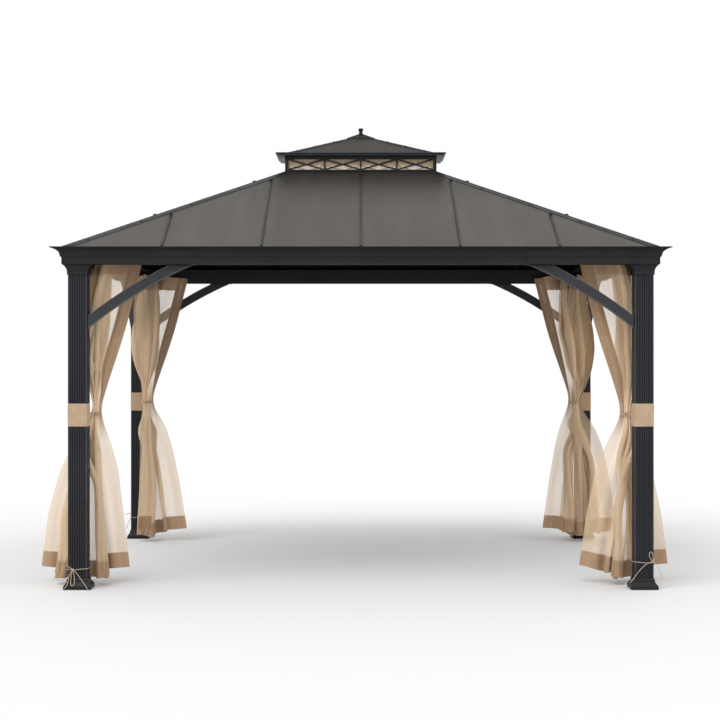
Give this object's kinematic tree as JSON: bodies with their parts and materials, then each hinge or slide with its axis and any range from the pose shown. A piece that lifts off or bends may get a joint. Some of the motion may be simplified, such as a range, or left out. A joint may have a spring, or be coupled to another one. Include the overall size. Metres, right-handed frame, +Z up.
{
  "type": "metal gazebo",
  "caption": "Hardtop metal gazebo with fluted posts, moulded cornice, arched braces, two-tier hipped sheet roof, latticed vent and tied-back netting.",
  "frame": {"origin": "on the floor under the middle of the four posts", "axes": "+X to the right along the long eave, +Y to the back, +Z up"},
  "size_m": [3.866, 3.05, 2.9195],
  "materials": {
    "frame_metal": "charcoal powder coat, satin",
    "roof_sheet": "warm grey coated sheet, low sheen",
    "rail": "dark coated rail",
    "netting": "beige mesh with woven header and hem",
    "strap_cloth": "beige woven strap",
    "cord": "pale braided cord"
  },
  "bodies": {
    "root": {"beam_back": "frame_metal", "beam_front": "frame_metal", "beam_left": "frame_metal", "beam_right": "frame_metal", "beam_sleeves": "frame_metal", "braces_back": "frame_metal", "braces_front": "frame_metal", "braces_left": "frame_metal", "braces_right": "frame_metal", "corner_back_left": "frame_metal", "corner_back_right": "frame_metal", "corner_front_left": "frame_metal", "corner_front_right": "frame_metal", "curtain_rails": "rail", "feet": "frame_metal", "finial": "frame_metal", "hip_caps": "roof_sheet", "hip_rafters": "frame_metal", "lattice_back": "frame_metal", "lattice_front": "frame_metal", "lattice_left": "frame_metal", "lattice_right": "frame_metal", "netting_long_back_left": "netting", "netting_long_back_right": "netting", "netting_long_front_left": "netting", "netting_long_front_right": "netting", "netting_short_back_left": "netting", "netting_short_back_right": "netting", "netting_short_front_left": "netting", "netting_short_front_right": "netting", "post_back_left": "frame_metal", "post_back_right": "frame_metal", "post_front_left": "frame_metal", "post_front_right": "frame_metal", "roof_back": "roof_sheet", "roof_crown": "roof_sheet", "roof_front": "roof_sheet", "roof_left": "roof_sheet", "roof_right": "roof_sheet", "roof_seams": "roof_sheet", "straps": "strap_cloth", "tie_back_left": "cord", "tie_back_right": "cord", "tie_ends_back_left": "cord", "tie_ends_back_right": "cord", "tie_ends_front_left": "cord", "tie_ends_front_right": "cord", "tie_front_left": "cord", "tie_front_right": "cord", "upper_cornice_long": "frame_metal", "upper_cornice_short": "frame_metal", "upper_hip_caps": "roof_sheet", "upper_roof_long": "roof_sheet", "upper_roof_short": "roof_sheet", "vent_netting": "netting", "vent_posts": "frame_metal", "vent_ring_long": "frame_metal", "vent_ring_short": "frame_metal"}
  },
  "joints": []
}
